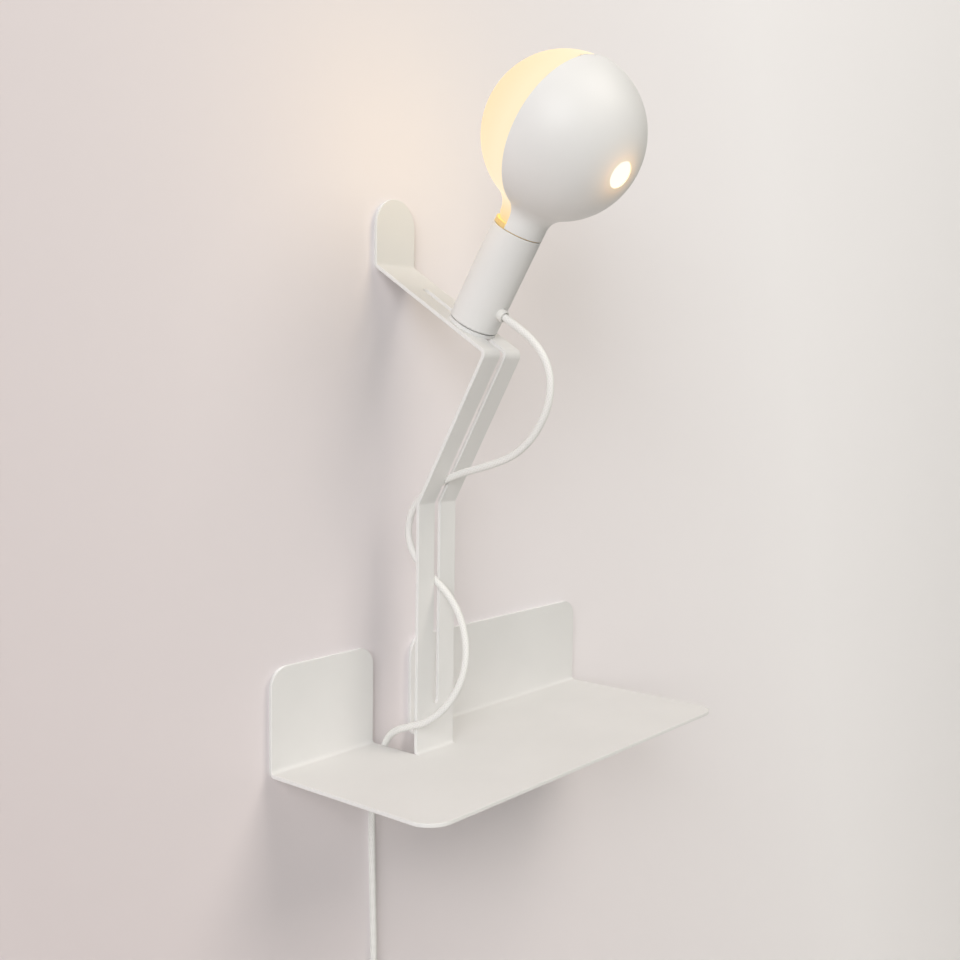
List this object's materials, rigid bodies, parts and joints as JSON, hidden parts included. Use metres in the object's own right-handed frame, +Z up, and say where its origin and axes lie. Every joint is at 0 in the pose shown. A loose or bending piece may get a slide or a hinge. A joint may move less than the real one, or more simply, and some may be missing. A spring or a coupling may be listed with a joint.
{
  "type": "wall lamp",
  "caption": "Wall lamp with shelf: a folded steel strip rises from the shelf and carries a globe lamp in a sleeve, under a half shade that turns.",
  "frame": {"origin": "centre of the upper wall hanger's keyhole entry, on the wall plane", "axes": "+X to the right along the shelf, +Y into the wall, +Z up; the wall is the plane Y = 0"},
  "size_m": [0.4, 0.234, 0.935],
  "materials": {
    "white_coat": "matt powder coat",
    "zinc": "zinc plated",
    "ceramic": "glazed",
    "nickel": "nickel plated",
    "brass": "satin",
    "opal_glass": "opal, satin",
    "cap_metal": "satin",
    "black_glass": "gloss",
    "clear_glass": "clear",
    "phosphor": "matt",
    "white_textile": "woven",
    "white_plastic": "satin",
    "brown_wire": "satin",
    "blue_wire": "satin",
    "clear_tie": "satin"
  },
  "bodies": {
    "lamp": {"folded_frame": "white_coat", "hanger_top": "zinc", "hanger_left": "zinc", "hanger_right": "zinc", "base_spacer": "white_coat", "mounting_screw": "zinc", "mounting_washer": "zinc", "mounting_nut": "zinc", "socket_sleeve": "white_coat", "holder_bracket": "zinc", "holder_screws": "zinc", "lampholder_body": "ceramic", "lampholder_shell": "nickel", "lampholder_contact": "brass", "terminals": "brass", "bulb_globe": "opal_glass", "bulb_cap": "cap_metal", "cap_insulator": "black_glass", "tip_contact": "nickel", "filament_stem": "clear_glass", "led_filaments": "phosphor", "cord_gland": "white_plastic", "gland_nut": "nickel", "clamped_cord": "white_textile", "live_wire": "brown_wire", "neutral_wire": "blue_wire", "mains_cord": "white_textile", "cord_coil": "white_textile", "cord_tail": "white_textile", "cord_tie": "clear_tie", "plug_body": "white_plastic", "plug_pins": "nickel"},
    "turning_shade": {"half_shade": "white_coat", "shade_collar": "brass"}
  },
  "joints": [
    {"name": "shade_turn", "type": "hinge", "parent": "lamp", "child": "turning_shade", "pos_m": [0, -43.97866, 71.54355], "axis": [0, -0.5225, 0.8526], "continuous": true}
  ]
}
